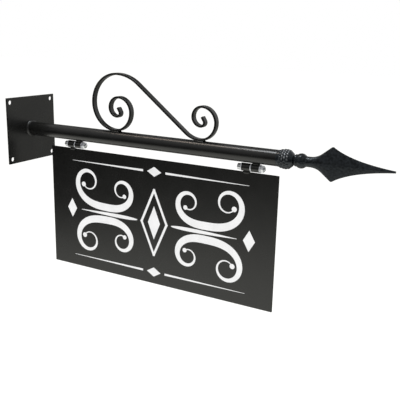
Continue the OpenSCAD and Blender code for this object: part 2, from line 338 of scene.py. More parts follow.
def soft_ring(x0, x1, inner, outer, edge):
    """Closed profile of a ring: a rectangle of x and r whose outer corners are eased by an edge.

    A row close to each eased corner keeps the shading of the flats beside it flat.
    """
    cut, hold = EASE_CUT * edge, EASE_HOLD * edge
    corner = [(0.0, hold), (0.0, edge), (cut, cut), (edge, 0.0), (hold, 0.0)]
    first = [(x0 + along, outer - inward) for along, inward in corner]
    last = [(x1 - along, outer - inward) for along, inward in reversed(corner)]
    return [(x0, inner), *first, *last, (x1, inner)]


def rounded_section(width, height, radius, steps=6):
    """Outline of a rectangle with round corners: a quarter circle at each corner in turn.

    A point on the straight just before and after each quarter keeps the shading of the flats flat.
    """
    a = np.r_[0, np.linspace(0, np.pi / 2, steps), np.pi / 2]
    hold = np.tile(np.r_[-radius / 2, np.zeros(steps), radius / 2], 4)
    turns = np.concatenate([a + k * np.pi / 2 for k in range(4)])
    at_x = np.repeat([1, -1, -1, 1], len(a)) * (width / 2 - radius)
    at_y = np.repeat([1, 1, -1, -1], len(a)) * (height / 2 - radius)
    x = at_x + radius * np.cos(turns) - hold * np.sin(turns)
    y = at_y + radius * np.sin(turns) + hold * np.cos(turns)
    return np.stack([x, y], axis=-1)


def bent_path(start, heading, legs, step=0.0015, fewest=4):
    """Points and headings along a bent bar.

    A leg (radius, turn, side) is an arc: its heading h turns by the turn to that side s,
    with x = s r sin h and z = -s r cos h. A leg (length, 0, 0) runs straight on.
    """
    points, headings = [np.array([start])], [np.array([heading])]
    for reach, turn, side in legs:
        count = max(fewest, int(reach * (turn or 1) / step))
        share = np.linspace(0, 1, count + 1)
        h = headings[-1][-1] + side * turn * share
        if side:
            run = side * reach * np.stack([np.sin(h) - np.sin(h[0]), np.cos(h[0]) - np.cos(h)], axis=-1)
        else:
            run = reach * share[:, None] * np.array([math.cos(h[0]), math.sin(h[0])])
        points.append(points[-1][-1] + run[1:])
        headings.append(h[1:])
    return np.concatenate(points), np.concatenate(headings)


def scroll_line(s):
    """Middle line of the scroll in the x, z plane, from the large curl's eye to the small one's."""
    quarter = math.pi / 2
    start = (SCROLL_LOW.x + s.heel + s.bar_thick / 2, SCROLL_LOW.z + s.bar_thick / 2)
    rise = s.heel + s.crown - (s.shoulder + s.toe) * (1 - math.cos(s.lean))
    straight = rise / math.sin(s.lean)
    eye = [(s.eye, s.eye_turn, 1), (s.eye_end, 0, 0)]
    inward = [(r, quarter, 1) for r in s.rear_turns] + eye
    over = [(s.heel, quarter, -1), (s.crown, quarter, -1), (s.shoulder, s.lean, -1), (straight, 0, 0)]
    onward = [(s.toe, s.lean, 1)] + [(r, quarter, 1) for r in s.front_turns] + eye
    rear, rear_h = bent_path(start, 0.0, inward)
    front, front_h = bent_path(start, math.pi, over + onward)
    return np.concatenate([rear[::-1], front[1:]]), np.concatenate([rear_h[::-1] + math.pi, front_h[1:]])


def swept_bar(points, headings, section, end):
    """The section carried along a line in the x, z plane.

    Its first axis lies along the line's normal and its second along y. Over the last stretch of each end
    it shrinks by the curve of a quarter ellipse, which eases the ends.
    """
    step = np.r_[0, np.cumsum(np.linalg.norm(np.diff(points, axis=0), axis=1))]
    near = np.clip(np.minimum(step, step[-1] - step) / end, 0, 1)
    size = BAR_END + (1 - BAR_END) * np.sqrt(1 - (1 - near) ** 2)
    normal = np.stack([-np.sin(headings), np.cos(headings)], axis=-1)
    a = section[None, :, 0] * size[:, None]
    b = section[None, :, 1] * size[:, None]
    x = points[:, 0, None] + normal[:, 0, None] * a
    z = points[:, 1, None] + normal[:, 1, None] * a
    return np.stack([x, b, z], axis=-1)


def weld_bead(start, end, radius, lift=0.75, seed=0.0):
    """A weld bead along a line: a tube as high as lift times its width.

    Its radius falls away as a circle at both ends and ripples along it, and its middle strays a little.
    """
    start, end = np.asarray(start, float), np.asarray(end, float)
    length = np.linalg.norm(end - start)
    t = np.linspace(0, 1, max(BEAD_ROWS, int(length / BEAD_STEP)))
    fall = np.sqrt(np.clip(1 - (np.abs(2 * t - 1) * (1 + radius / length) - radius / length) ** 2, 0, 1))
    wave = np.abs(np.sin(np.pi * (t * length / BEAD_PITCH + seed)))
    r = radius * np.maximum(fall, BEAD_POINT) * (1 - BEAD_RIPPLE + BEAD_RIPPLE * wave)
    along = (end - start) / length
    up = np.array([0.0, 0.0, 1.0])
    side = np.cross(up, along)
    a = np.linspace(0, 2 * np.pi, BEAD_SIDES, endpoint=False)
    ring = np.cos(a)[:, None] * side + lift * np.sin(a)[:, None] * up
    stray = BEAD_STRAY * radius * np.sin(BEAD_BENDS * np.pi * t + BEAD_SHIFT * seed)
    middle = start + t[:, None] * (end - start) + stray[:, None] * side
    return patch(middle[:, None, :] + r[:, None, None] * ring[None, :, :], caps=True)


def blank(name):
    """A material with an output and a Principled shader."""
    material = bpy.data.materials.new(name)
    material.use_nodes = True
    tree = material.node_tree
    tree.nodes.clear()
    output = tree.nodes.new("ShaderNodeOutputMaterial")
    shader = tree.nodes.new("ShaderNodeBsdfPrincipled")
    tree.links.new(shader.outputs["BSDF"], output.inputs["Surface"])
    return material, tree, shader


def feed(tree, node, inputs):
    """Links each input that is a socket and sets any other."""
    for key, value in inputs.items():
        if isinstance(value, bpy.types.NodeSocket):
            tree.links.new(value, node.inputs[key])
        else:
            node.inputs[key].default_value = value


def add(tree, kind, inputs=None, **options):
    """Adds a node with its options and inputs."""
    made = tree.nodes.new(kind)
    for key, value in options.items():
        setattr(made, key, value)
    feed(tree, made, inputs or {})
    return made


def noise(tree, place, scale, detail):
    """Noise of a scale in cells a metre."""
    made = add(tree, "ShaderNodeTexNoise", {"Vector": place, "Scale": scale, "Detail": detail})
    return made.outputs["Fac"]


def spread(tree, value, low, high, to_low, to_high, kind="LINEAR"):
    """A value moved from one range to another, held at the ends."""
    inputs = {"Value": value, "From Min": low, "From Max": high, "To Min": to_low, "To Max": to_high}
    return add(tree, "ShaderNodeMapRange", inputs, interpolation_type=kind).outputs["Result"]


def clouded(tree, cloud, low, high, half=0.2):
    """A noise moved to a range from its usual band, which reaches a half width to both sides of 0.5."""
    return spread(tree, cloud, 0.5 - half, 0.5 + half, low, high)


def blended(tree, share, first, second):
    """A colour between two others."""
    mix = add(tree, "ShaderNodeMix", {0: share}, data_type="RGBA")
    feed(tree, mix, {6: first, 7: second})
    return mix.outputs[2]


def worked(tree, operation, first, second):
    """The result of a sum on two values."""
    return add(tree, "ShaderNodeMath", {0: first, 1: second}, operation=operation).outputs[0]


def times(tree, first, second):
    """The product of two values."""
    return worked(tree, "MULTIPLY", first, second)


def bumped(tree, strength, distance, height, normal):
    """A normal tilted by a height."""
    inputs = {"Strength": strength, "Distance": distance, "Height": height, "Normal": normal}
    return add(tree, "ShaderNodeBump", inputs).outputs["Normal"]


def tinted(colour, share):
    """A colour with each channel times a share, and full alpha."""
    return (colour[0] * share, colour[1] * share, colour[2] * share, 1.0)


# Cosines of the turn at which a surface starts to count as an edge and fully counts as one
EDGE_TURN = (0.985, 0.86)
EDGE_SAMPLES = 6


def edges(tree, radius):
    """How far the surface turns within a radius: 0 on flats and 1 on edges, where paint is thin."""
    bevel = add(tree, "ShaderNodeBevel", {"Radius": radius}, samples=EDGE_SAMPLES)
    face = add(tree, "ShaderNodeNewGeometry")
    normals = {0: bevel.outputs["Normal"], 1: face.outputs["Normal"]}
    turn = add(tree, "ShaderNodeVectorMath", normals, operation="DOT_PRODUCT")
    return spread(tree, turn.outputs["Value"], *EDGE_TURN, 0.0, 1.0), bevel.outputs["Normal"]


# Powder coat: cells a metre of its clouds, skin and dust, height of the skin, reach of thin edges
COAT_CLOUD = 26.0
COAT_SKIN = 620.0
COAT_DUST = 1900.0
COAT_PEEL = 0.00015
COAT_EDGE = 0.0009

# Range of the noise that counts as dust, its cover, and what clouds add to the roughness
DUST_RANGE = (0.70, 0.80)
DUST_COVER = 0.5
COAT_GLOSS = (-0.012, 0.008)

# Shades of the coat: dark and light clouds, dust and thin edges
COAT_SHADES = (0.8, 1.2, 4.0, 2.6)


def powder_coat(name, colour, rough, peel, shine):
    """Satin black powder coat: an orange-peel skin, cloudy gloss, fine dust and thin edges."""
    material, tree, shader = blank(name)
    place = add(tree, "ShaderNodeTexCoord").outputs["Object"]
    cloud = noise(tree, place, COAT_CLOUD, detail=5.0)
    skin = noise(tree, place, COAT_SKIN, detail=2.0)
    dust = spread(tree, noise(tree, place, COAT_DUST, detail=1.0), *DUST_RANGE, 0.0, DUST_COVER)
    edge, bevelled = edges(tree, COAT_EDGE)
    dark, light, dusty, thin = (tinted(colour, share) for share in COAT_SHADES)
    body = blended(tree, clouded(tree, cloud, 0.0, 1.0), dark, light)
    worn = blended(tree, edge, blended(tree, dust, body, dusty), thin)
    gloss = clouded(tree, cloud, *(rough + part for part in COAT_GLOSS))
    normal = bumped(tree, peel, COAT_PEEL, skin, bevelled)
    feed(
        tree,
        shader,
        {"Base Color": worn, "Roughness": gloss, "Specular IOR Level": shine, "Normal": normal},
    )
    return material


# Painted casting: cells a metre of its clouds, grain and hammer facets, their heights, reach of thin edges
CAST_CLOUD = 210.0
CAST_GRAIN = 900.0
CAST_FACET = 240.0
CAST_DENT = 0.0014
CAST_SAND = 0.0002
CAST_EDGE = 0.0012

# Half width of the clouds' band, what they add to the roughness, shades of dark, light and thin paint
CAST_BAND = 0.12
CAST_GLOSS = (-0.06, 0.08)
CAST_SHADES = (0.45, 1.7, 2.4)
CAST_SHEEN = (0.87, 0.95, 1.0, 1.0)

# Bare iron on raised crowns, partly wear and partly painted glints kept to the upper side:
# heights, distances from the tube, pointiness, least shares below and beside, bare iron
GLINT_HEIGHT = (0.001, 0.009)
GLINT_REACH = (0.009, 0.013)
RUB_GLINT_RAISED = (0.509, 0.516)
GLINT_BELOW = 0.04
GLINT_BESIDE = 0.1
BARE_IRON_GLINT = (0.45, 0.46, 0.48, 1.0)

# Distances from the ball between which the spear's roughness goes over into the blade's
BLADE_REACH = (0.03, 0.06)


def painted_casting(name, colour, shine, turned, blade, dented, rubbed_glint):
    """Black paint over a casting.

    Hammer facets as deep as dented says, a sandy grain, roughness that goes from the turned part's to the
    blade's, and bare iron on raised crowns of the broad rows: partly wear, and partly painted glints kept to
    the upper side.
    """
    material, tree, shader = blank(name)
    place = add(tree, "ShaderNodeTexCoord").outputs["Object"]
    cloud = noise(tree, place, CAST_CLOUD, detail=4.0)
    grain = noise(tree, place, CAST_GRAIN, detail=4.0)
    facet = add(tree, "ShaderNodeTexVoronoi", {"Vector": place, "Scale": CAST_FACET}, feature="SMOOTH_F1")
    edge, bevelled = edges(tree, CAST_EDGE)
    dark, light, thin = (tinted(colour, share) for share in CAST_SHADES)
    body = blended(tree, clouded(tree, cloud, 0.0, 1.0, CAST_BAND), dark, light)
    worn = blended(tree, edge, body, thin)
    patchy = clouded(tree, cloud, *(turned + part for part in CAST_GLOSS))
    x, _, z = add(tree, "ShaderNodeSeparateXYZ", {"Vector": place}).outputs
    # Bare iron on the upper side's raised crowns is partly wear and partly a painted glint
    if rubbed_glint:
        raised = add(tree, "ShaderNodeNewGeometry").outputs["Pointiness"]
        above = spread(tree, z, *GLINT_HEIGHT, GLINT_BELOW * rubbed_glint, rubbed_glint)
        glint_widest = spread(tree, x, *(BALL_LOW.x + reach for reach in GLINT_REACH), GLINT_BESIDE, 1.0)
        glint_tops = times(tree, spread(tree, raised, *RUB_GLINT_RAISED, 0.0, 1.0), above)
        bare = times(tree, glint_tops, glint_widest)
        worn = blended(tree, bare, worn, BARE_IRON_GLINT)
        feed(tree, shader, {"Metallic": bare})
    if blade != turned:
        along = spread(tree, x, *(SPEAR_LOW.x + reach for reach in BLADE_REACH), 0.0, blade - turned)
        patchy = worked(tree, "ADD", patchy, along)
    dents = bumped(tree, dented, CAST_DENT, facet.outputs["Distance"], bevelled)
    normal = bumped(tree, dented / 2, CAST_SAND, grain, dents)
    feed(tree, shader, {"Base Color": worn, "Roughness": patchy, "Normal": normal})
    feed(tree, shader, {"Specular IOR Level": shine, "Specular Tint": CAST_SHEEN})
    return material


# Zinc plating: cells a metre of its clouds and grain, strength and height of the grain, reach of edges
ZINC_CLOUD = 180.0
ZINC_GRAIN = 2400.0
ZINC_BUMP = 0.15
ZINC_HEIGHT = 0.0001
ZINC_EDGE = 0.0005

# Half width of the clouds' band, what they add to the roughness, shades of dull plate and bright edges
ZINC_BAND = 0.15
ZINC_GLOSS = (-0.06, 0.06)
ZINC_SHADES = (0.86, 1.12)
ZINC_WARMTH = (1.0, 0.99, 0.96)


def zinc_plate(name, colour, metal, rough):
    """Zinc plating: patchy passivation, a fine grain, and as much bare metal as metal says."""
    material, tree, shader = blank(name)
    place = add(tree, "ShaderNodeTexCoord").outputs["Object"]
    cloud = noise(tree, place, ZINC_CLOUD, detail=4.0)
    grain = noise(tree, place, ZINC_GRAIN, detail=2.0)
    edge, bevelled = edges(tree, ZINC_EDGE)
    dull, bright = (tinted(colour, share) for share in ZINC_SHADES)
    warm = (*(part * share for part, share in zip(colour, ZINC_WARMTH)), 1.0)
    body = blended(tree, clouded(tree, cloud, 0.0, 1.0, ZINC_BAND), dull, warm)
    plate = blended(tree, edge, body, bright)
    gloss = clouded(tree, cloud, *(rough + part for part in ZINC_GLOSS), ZINC_BAND)
    normal = bumped(tree, ZINC_BUMP, ZINC_HEIGHT, grain, bevelled)
    feed(tree, shader, {"Base Color": plate, "Metallic": metal, "Roughness": gloss, "Normal": normal})
    return material


# White film: cells a metre of its clouds and grain, strength and height of the grain, shades and roughness
FILM_CLOUD = 35.0
FILM_GRAIN = 1500.0
FILM_BUMP = 0.1
FILM_HEIGHT = 0.0001
FILM_SHADES = (0.95, 1.04)
FILM_ROUGH = (0.36, 0.5)


def white_film(name, colour):
    """Cut white film: a faint cloudiness and a soft satin grain."""
    material, tree, shader = blank(name)
    place = add(tree, "ShaderNodeTexCoord").outputs["Object"]
    cloud = noise(tree, place, FILM_CLOUD, detail=3.0)
    grain = noise(tree, place, FILM_GRAIN, detail=2.0)
    bump = add(tree, "ShaderNodeBump", {"Strength": FILM_BUMP, "Distance": FILM_HEIGHT, "Height": grain})
    dull, bright = (tinted(colour, share) for share in FILM_SHADES)
    tone = blended(tree, clouded(tree, cloud, 0.0, 1.0), dull, bright)
    gloss = clouded(tree, cloud, *FILM_ROUGH)
    feed(tree, shader, {"Base Color": tone, "Roughness": gloss, "Normal": bump.outputs["Normal"]})
    return material


# What flat pieces add to the coat's roughness
FLAT_ROUGH = 0.03


def finish_of(name):
    """A finish by name, made at its first use from the sign's colours."""
    found = bpy.data.materials.get(name)
    if found:
        return found
    f = bpy.context.scene.sign_finish
    flat = f.coat_rough + FLAT_ROUGH
    makers = {
        "black_coat": lambda: powder_coat(name, f.coat, f.coat_rough, peel=0.12, shine=0.5),
        "flat_coat": lambda: powder_coat(name, f.coat, flat, peel=0.2, shine=0.43),
        "panel_coat": lambda: powder_coat(name, f.coat, flat, peel=0.2, shine=0.55),
        "spear_casting": lambda: painted_casting(
            name, f.casting, shine=0.32, turned=0.24, blade=0.48, dented=0.6, rubbed_glint=0.0
        ),
        "ball_casting": lambda: painted_casting(
            name, f.casting, shine=0.42, turned=0.18, blade=0.18, dented=0.06, rubbed_glint=0.5
        ),
        "bright_zinc": lambda: zinc_plate(name, f.zinc, metal=1.0, rough=0.18),
        "dull_zinc": lambda: zinc_plate(name, f.zinc, metal=0.55, rough=0.32),
        "white_film": lambda: white_film(name, f.film),
    }
    return makers[name]()


def repaint(name, *nodes):
    """Gives CAD nodes that keep their own shape a finish."""
    for node in nodes:
        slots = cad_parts[node].data.materials
        slots.clear()
        slots.append(finish_of(name))


# Arm: points round the tube and its ease, points round and across the foot weld
TUBE_SIDES = 192
TUBE_EDGE = 0.0004
FOOT_SIDES = 360
FOOT_ROWS = 12

# Foot weld: depth of its root, belly in legs, depth and number of its ripples, and how they stray
FOOT_ROOT = 0.0004
FOOT_BELLY = 0.22
FOOT_RIPPLE = 0.00035
FOOT_WAVES = 22
FOOT_STRAY = 0.4
FOOT_STRAYS = 3


class SIGN_OT_arm(bpy.types.Operator):
    """Paints the wall plate, and makes the tube and the weld round its foot"""

    bl_idname = "sign.arm"
    bl_label = "Plate and Arm"

    def execute(self, context):
        repaint("flat_coat", "wall_plate")
        repaint("bright_zinc", "tube_plug", "finial_stud")
        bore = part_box("tube_plug")[1].z
        ring = soft_ring(TUBE_LOW.x, TUBE_HIGH.x, bore, TUBE_R, TUBE_EDGE)
        tube = patch(revolved(ring, TUBE_SIDES), wrap_rows=True)
        piece("tube", [tube], finish_of("black_coat"), BRACKET, "black_paint", "arm_tube")
        self.foot_weld()
        return {"FINISHED"}

    def foot_weld(self):
        """A ring whose face goes from leg to leg with the belly of a sine, and ripples round the tube."""
        low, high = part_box("arm_weld")
        leg = high.x - low.x
        across = np.linspace(0, 1, FOOT_ROWS)
        swell = np.sin(np.pi * across)
        belly = FOOT_BELLY * leg * swell / 2
        face = np.stack([low.x + leg * across + belly, high.z - leg * across + belly], axis=-1)
        root = TUBE_R - FOOT_ROOT
        profile = np.concatenate([face, [(low.x + leg, root), (low.x, root)]])
        inside = np.r_[swell, 0, 0][:, None]

        def ripple(x, a):
            waves = np.abs(np.sin(FOOT_WAVES * a + FOOT_STRAY * np.sin(FOOT_STRAYS * a)))
            return FOOT_RIPPLE * inside * (waves - 0.5)

        ring = patch(revolved(profile, FOOT_SIDES, ripple=ripple), wrap_rows=True)
        piece("foot_weld", [ring], finish_of("black_coat"), BRACKET, "black_paint", "arm_weld")


# Heel welds: radius of a bead, distance in from the weld's sides, lift off the tube, shifts of the ripples
HEEL_BEAD = 0.0026
HEEL_INSET = 0.0022
HEEL_LIFT = 0.0006
HEEL_SHIFTS = (0.3, 0.2)


class SIGN_OT_scroll(bpy.types.Operator):
    """Bends the flat bar into the scroll and welds its heels to the arm"""

    bl_idname = "sign.scroll"
    bl_label = "Scroll"

    def execute(self, context):
        s = context.scene.sign_scroll
        width = SCROLL_HIGH.y - SCROLL_LOW.y
        points, headings = scroll_line(s)
        section = rounded_section(s.bar_thick, width, s.bar_edge)
        bar = patch(swept_bar(points, headings, section, s.bar_edge), caps=True)
        piece("scroll", [bar], finish_of("flat_coat"), BRACKET, "black_paint", "scroll_bar")
        for k, end in enumerate(ENDS):
            node = end + "_scroll_weld"
            low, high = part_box(node)
            beads = []
            for side in SIDES:
                y = side * (high.y - HEEL_INSET)
                z = math.sqrt(TUBE_R**2 - y**2) + HEEL_LIFT
                seed = HEEL_SHIFTS[0] * k + HEEL_SHIFTS[1] * side
                beads.append(weld_bead((low.x, y, z), (high.x, y, z), HEEL_BEAD, seed=seed))
            piece(end + "_heel_weld", beads, finish_of("black_coat"), BRACKET, "black_paint", node)
        return {"FINISHED"}


# Ball: points round it and along it, and radius of the stud's hole
BALL_SIDES = 384
BALL_ROWS = 150
BALL_BORE = 0.004

# Spear: points round it, and along its knop, its flare, the straight to its corners and its long edges
SPEAR_SIDES = 128
KNOP_ROWS = 40
FLARE_ROWS = 40
STRAIGHT_ROWS = 30
EDGE_ROWS = 110

# Rim: distances past the ball's face, and how far each lies inside the rim's radius
RIM_PLACES = (0.002, 0.0024, 0.0052, 0.006)
RIM_INSETS = (0.0004, 0.0, 0.0, 0.0009)

# Knop: distance of its middle past the ball's face, its reaches to the rim and to the neck
KNOP_PLACE = 0.014
KNOP_BACK = 0.0078
KNOP_FRONT = 0.01

# Blade: distance of its start past the knop's middle, length to its corners, radius of its flare
BLADE_PLACE = 0.018
BLADE_BACK = 0.0435
BLADE_FLARE = 0.036

# Point that pulls the long edges in, past the corners and out from the middle, and half sizes of the tip
EDGE_PULL = (0.036, 0.010)
TIP_WIDE = 0.002
TIP_THICK = 0.0015

# Powers of the rings: round ones, and the blade's
ROUND_POWER = 2.0
BLADE_POWER = 1.25

# Hammer marks: waves along and round the blade, bend and start of the waves, plain length at the tip
MARKS_ALONG = (260, 140, 95)
MARKS_ROUND = (3, 5, 3)
MARKS_BEND = 2.1
MARKS_START = 0.7
MARKS_END = 0.03


class SIGN_OT_finial(bpy.types.Operator):
    """Casts the ball with its relief and draws out the spear"""

    bl_idname = "sign.finial"
    bl_label = "Finial"

    def execute(self, context):
        f = context.scene.sign_finial
        self.ball(f)
        self.spear(f)
        return {"FINISHED"}

    def ball(self, f):
        """A turned ball with a collar. Its relief is staggered rows of beads, each a cosine bump."""
        r, face = f.ball_d / 2, f.face_d / 2
        half = math.sqrt(r**2 - face**2)
        x = np.linspace(-half, half, BALL_ROWS)
        out = np.sqrt(r**2 - x**2)
        reach = math.hypot(half, TUBE_R)
        touch = math.atan2(TUBE_R, -half) - math.acos(r / reach)
        share = np.clip((x + half) / (r * math.cos(touch) + half), 0, 1)
        collar = TUBE_R + (r * math.sin(touch) - TUBE_R) * share
        out = np.where(x < r * math.cos(touch), collar, out)
        middle = BALL_LOW.x + half
        profile = np.stack([middle + x, out], axis=-1)

        def relief(px, a):
            u = (px - BALL_LOW.x - f.bead_inset) / f.bead_gap
            row = np.clip(np.round(u), 0, f.bead_rows - 1)
            turn = a / (2 * np.pi) * f.beads - row / 2
            across = (turn - np.round(turn)) * 2 * np.pi / f.beads * r / f.bead_gap
            far = np.sqrt((u - row) ** 2 + across**2)
            return f.relief * np.where(far < 0.5, np.cos(np.pi * far), 0.0)

        skin = revolved(profile, BALL_SIDES, ripple=relief)
        hole = revolved([(middle + half, BALL_BORE), (middle - half, BALL_BORE)], BALL_SIDES)
        ball = patch(np.concatenate([skin, hole]), wrap_rows=True)
        piece("ball", [ball], finish_of("ball_casting"), BRACKET, "casting", "finial_ball")

    def spear(self, f):
        """Rings of superellipses from the ball to the tip: round to the neck, then the blade.

        The blade flares on an arc from the neck, runs straight to its corners, where its width is its mean
        over a short reach, and on to the tip along a parabola. Its faces have shallow hammer marks.
        """
        x, wide, thick, power, blade_x = self.spear_lines(f)
        angle = np.linspace(0, 2 * np.pi, SPEAR_SIDES, endpoint=False)[None, :]
        c, s, p = np.cos(angle), np.sin(angle), 2 / power[:, None]
        on_blade = np.clip((x - blade_x) / BLADE_BACK, 0, 1)[:, None]
        near_tip = np.clip((SPEAR_HIGH.x - x) / MARKS_END, 0, 1)[:, None]
        px = x[:, None]
        marks = (
            np.sin(MARKS_ALONG[0] * px + MARKS_BEND * np.sin(MARKS_ROUND[0] * angle))
            * np.sin(MARKS_ROUND[1] * angle + MARKS_ALONG[1] * px)
            * np.sin(MARKS_ROUND[2] * angle - MARKS_ALONG[2] * px + MARKS_START)
        )
        dent = 1 - f.hammer * on_blade * near_tip * (0.5 + 0.5 * marks) / (f.blade_thick / 2)
        y = thick[:, None] * np.sign(c) * np.abs(c) ** p * dent
        z = wide[:, None] * np.sign(s) * np.abs(s) ** p
        skin = np.stack([px + 0 * c, y, z], axis=-1)
        spear = patch(skin, caps=True)
        piece("spear", [spear], finish_of("spear_casting"), BRACKET, "casting", "finial_spear")

    def spear_lines(self, f):
        """Place, half width, half thickness and power of each ring, and where the blade starts."""
        neck, wide, thick = f.neck_d / 2, SPEAR_HIGH.z, f.blade_thick / 2
        lead_x = SPEAR_LOW.x + np.r_[0, RIM_PLACES]
        lead_out = np.r_[f.face_d / 2, f.rim_d / 2 - np.array(RIM_INSETS)]
        knop_x = SPEAR_LOW.x + KNOP_PLACE
        rise = f.knop_d / 2 - neck
        knop_r = (KNOP_FRONT**2 + rise**2) / (2 * rise)
        kx = np.linspace(-KNOP_BACK, KNOP_FRONT, KNOP_ROWS)
        knop_out = f.knop_d / 2 - knop_r + np.sqrt(knop_r**2 - kx**2)
        blade_x = knop_x + BLADE_PLACE
        inward = neck + BLADE_FLARE - wide
        turn = math.atan2(BLADE_BACK, inward) - math.acos(BLADE_FLARE / math.hypot(BLADE_BACK, inward))
        a = np.linspace(0, turn, FLARE_ROWS)
        fx, fw = BLADE_FLARE * np.sin(a), neck + BLADE_FLARE * (1 - np.cos(a))
        line = np.linspace(0, 1, STRAIGHT_ROWS)[1:]
        sx, sw = fx[-1] + (BLADE_BACK - fx[-1]) * line, fw[-1] + (wide - fw[-1]) * line
        t = np.linspace(0, 1, EDGE_ROWS)[1:]
        reach = SPEAR_HIGH.x - blade_x - BLADE_BACK
        ex = BLADE_BACK + 2 * t * (1 - t) * EDGE_PULL[0] + t * t * reach
        ew = (1 - t) ** 2 * wide + 2 * t * (1 - t) * EDGE_PULL[1] + t * t * TIP_WIDE
        u = np.r_[fx, sx] / BLADE_BACK
        thick_back = neck + (thick - neck) * u * (2 - u)
        thick_front = thick + (TIP_THICK - thick) * t
        x = np.concatenate([lead_x, knop_x + kx, blade_x + fx, blade_x + sx, blade_x + ex])
        w = np.concatenate([lead_out, knop_out, fw, sw, ew])
        area = np.r_[0, np.cumsum(np.diff(x) * (w[1:] + w[:-1]) / 2)]
        ease = f.corner_ease
        eased = (np.interp(x + ease, x, area) - np.interp(x - ease, x, area)) / (2 * ease)
        w = np.where(np.abs(x - blade_x - BLADE_BACK) < ease, eased, w)
        h = np.concatenate([lead_out, knop_out, thick_back, thick_front])
        turned = np.full(len(lead_x) + KNOP_ROWS, ROUND_POWER)
        flaring = ROUND_POWER + (BLADE_POWER - ROUND_POWER) * u
        return x, w, h, np.concatenate([turned, flaring, np.full(len(t), BLADE_POWER)]), blade_x


# Nut: points round it and along it, slope of its cones, and radius of its end faces in half flats
NUT_SIDES = 144
NUT_ROWS = 24
NUT_CONE = math.radians(30)
NUT_FACE = 0.97

# Bolt: rows of the thread, its depth in half pitches, its start before the nut, and the end's cone
THREAD_ROWS = 110
THREAD_DEPTH = 0.61
THREAD_LEAD = 0.001
BOLT_CONE = (0.0004, 0.0012)

# Bolt's head: ease and point of the socket, depth and run-out of the knurl, plain skirt and its steps
SOCKET_EASE = 0.0003
SOCKET_POINT = 0.05
KNURL_DEPTH = 0.00012
KNURL_END = 0.0002
SKIRT = 0.001
SKIRT_STEP = 0.0001

# Knuckles and washers: points round them, radii of their holes, and their eases
RING_SIDES = 96
KNUCKLE_BORE = 0.0041
KNUCKLE_EDGE = 0.0007
WASHER_BORE = 0.0042
WASHER_EDGE = 0.0005

# Hinge welds: radius and lift of a bead, depth and side of the panel's beads, and shifts of the ripples
ARM_BEAD = 0.0022
ARM_BEAD_LIFT = 1.0
PANEL_BEAD = 0.0019
PANEL_BEAD_LIFT = 2.0
PANEL_BEAD_SINK = 0.0005
PANEL_BEAD_SIDE = 0.375
HINGE_SHIFT = 0.4
PANEL_SHIFT = 0.3


def hex_out(a, flats):
    """Distance from the middle to a hexagon's side at each angle."""
    return flats / 2 / np.cos((a + np.pi / 6) % (np.pi / 3) - np.pi / 6)


def nut_body(x0, x1, flats, hole):
    """A hexagon with a corner to the front, turned off by a cone at both ends.

    r is the lesser of hexagon and cone.
    """
    a = np.linspace(0, 2 * np.pi, NUT_SIDES, endpoint=False)[None, :]
    x = np.r_[x0, np.linspace(x0, x1, NUT_ROWS), x1][:, None]
    cone = flats / 2 * NUT_FACE + np.minimum(x - x0, x1 - x) / math.tan(NUT_CONE)
    r = np.minimum(hex_out(a + np.pi / 6, flats), cone)
    r[0], r[-1] = hole, hole
    return patch(np.stack([x + 0 * a, r * np.cos(a), PIN_Z + r * np.sin(a)], axis=-1), wrap_rows=True)


def bolt_body(x0, head, thread, x1, head_r, h):
    """A bolt turned about its line, with a hexagon for the socket's rings and fine ridges round the head.

    The thread's ridge winds once in each pitch.
    """
    a = np.linspace(0, 2 * np.pi, 6 * h.knurls, endpoint=False)[None, :]
    shank = h.shank / 2
    depth = THREAD_DEPTH * h.pitch / 2
    socket = hex_out(a, h.socket)
    knurl = KNURL_DEPTH * np.abs(np.sin(h.knurls / 2 * a))
    round_edge = head_r - h.head_ease
    head_rings = [
        (x0 + h.socket_depth, SOCKET_POINT * socket),
        (x0 + h.socket_depth, socket),
        (x0 + SOCKET_EASE, socket),
        (x0, socket + SOCKET_EASE),
        (x0, round_edge - SOCKET_EASE),
        (x0, round_edge),
        (x0 + EASE_CUT * h.head_ease, round_edge + (1 - EASE_CUT) * h.head_ease),
        (x0 + h.head_ease, head_r),
        (x0 + h.head_ease + KNURL_END, head_r - knurl),
        (head - SKIRT - KNURL_END, head_r - knurl),
        (head - SKIRT, head_r - SKIRT_STEP),
        (head, head_r - 2 * SKIRT_STEP),
        (head, shank),
    ]
    turns = np.linspace(thread, x1 - BOLT_CONE[0], THREAD_ROWS)[:, None]
    phase = (turns / h.pitch - a / (2 * np.pi)) % 1
    ridge = shank - depth * (1 - np.abs(2 * phase - 1))
    x = np.r_[[ring[0] for ring in head_rings], turns[:, 0], x1][:, None]
    r = np.concatenate([*(ring[1] + 0 * a for ring in head_rings), ridge, shank - BOLT_CONE[1] + 0 * a])
    return patch(np.stack([x + 0 * a, r * np.cos(a), PIN_Z + r * np.sin(a)], axis=-1), caps=True)


